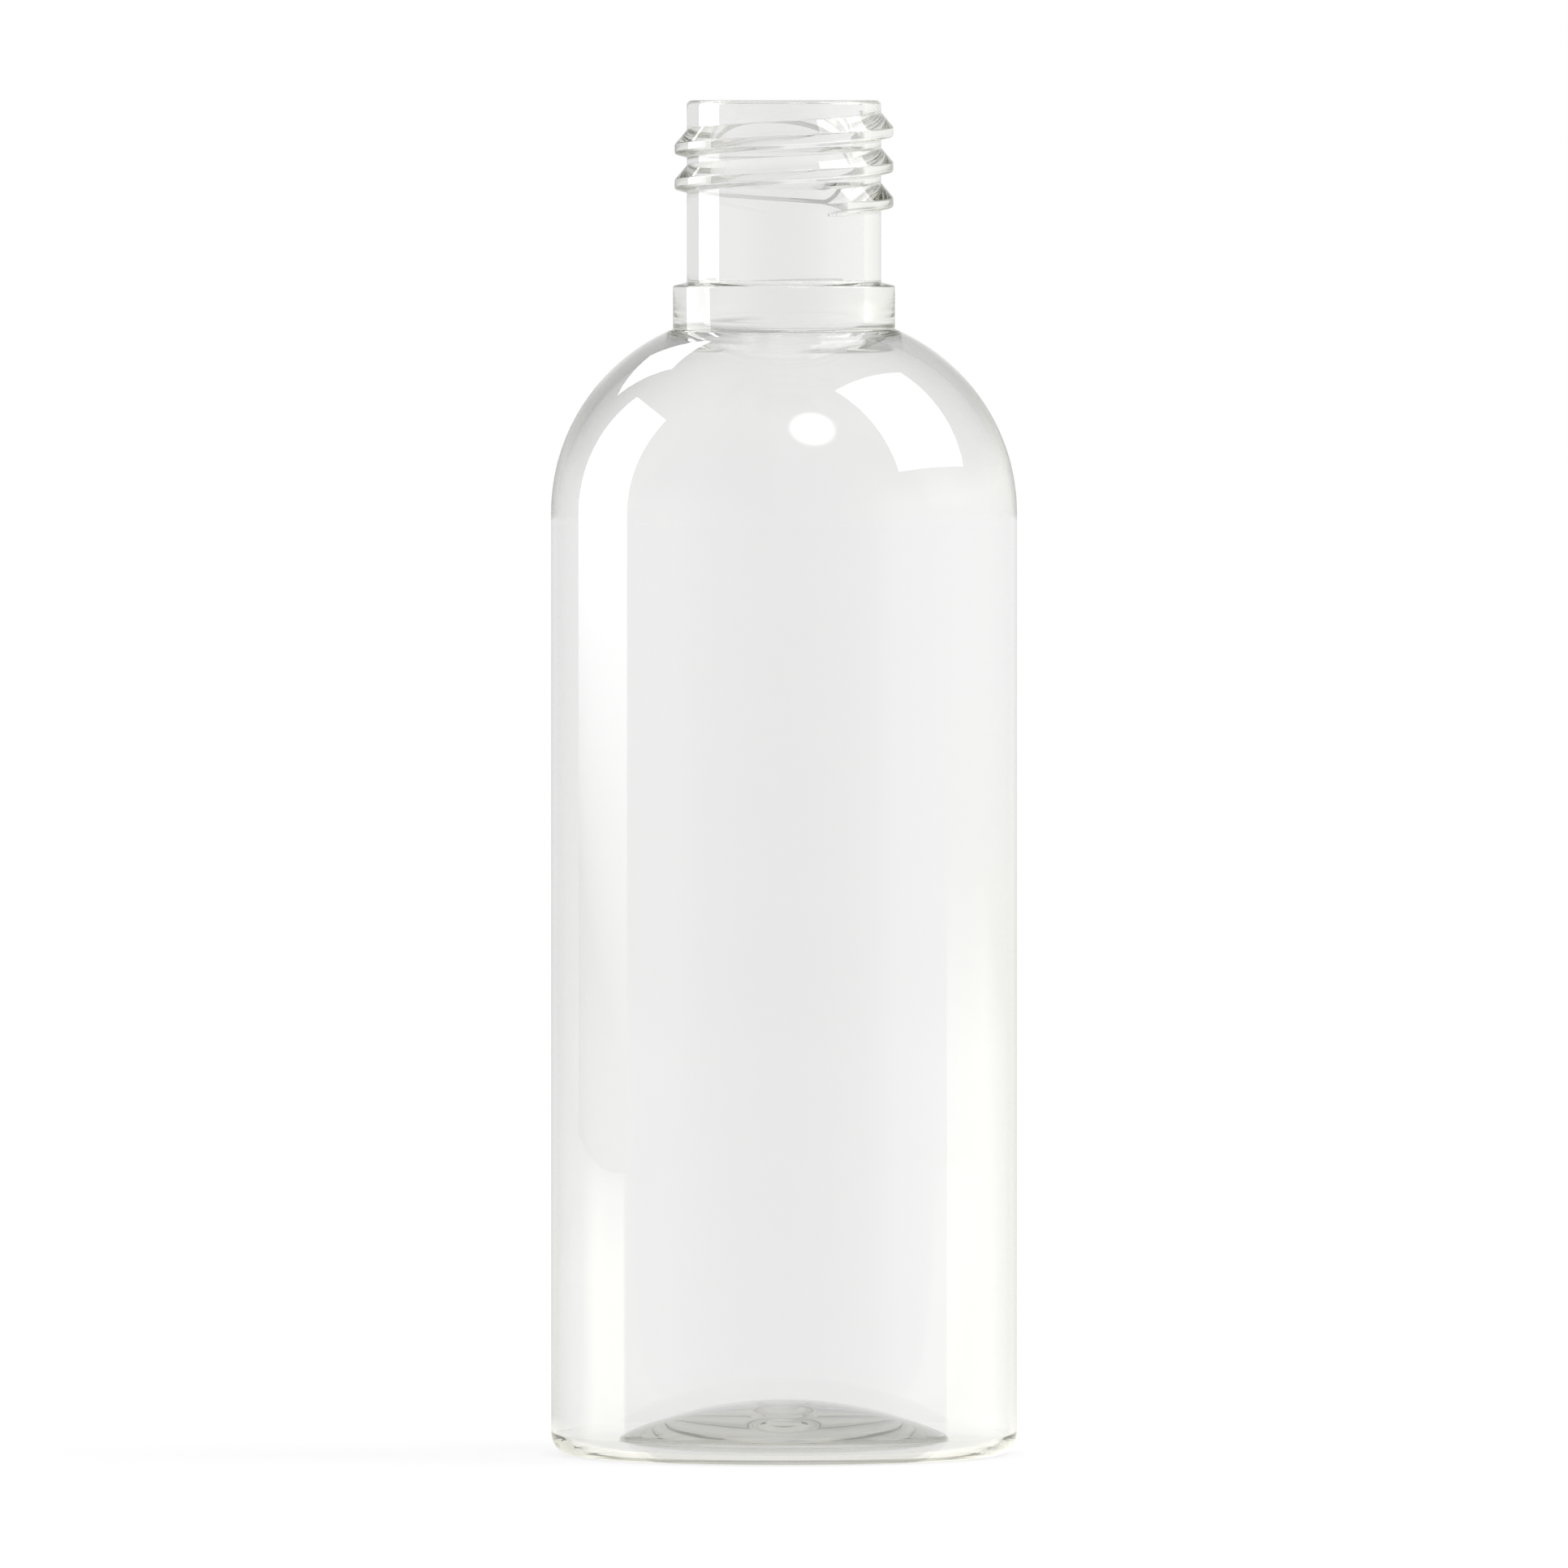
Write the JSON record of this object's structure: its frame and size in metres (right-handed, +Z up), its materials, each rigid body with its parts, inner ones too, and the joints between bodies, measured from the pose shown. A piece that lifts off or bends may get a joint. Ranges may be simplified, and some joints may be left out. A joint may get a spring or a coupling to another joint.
{
  "type": "plastic bottle",
  "caption": "Tall round clear bottle with a domed shoulder, a plain collar, a screw neck and a pushed-up base, open at the top.",
  "frame": {"origin": "centre of the ring that the bottle stands on, in the plane of the surface under it", "axes": "+Z up along the bottle's axis, out of the mouth; +X to the right as the picture shows the bottle"},
  "size_m": [0.042, 0.042, 0.122],
  "materials": {
    "clear_pet": "clear, smooth and glossy, as blown against a polished mould"
  },
  "bodies": {
    "root": {"bottle": "clear_pet"}
  },
  "joints": []
}
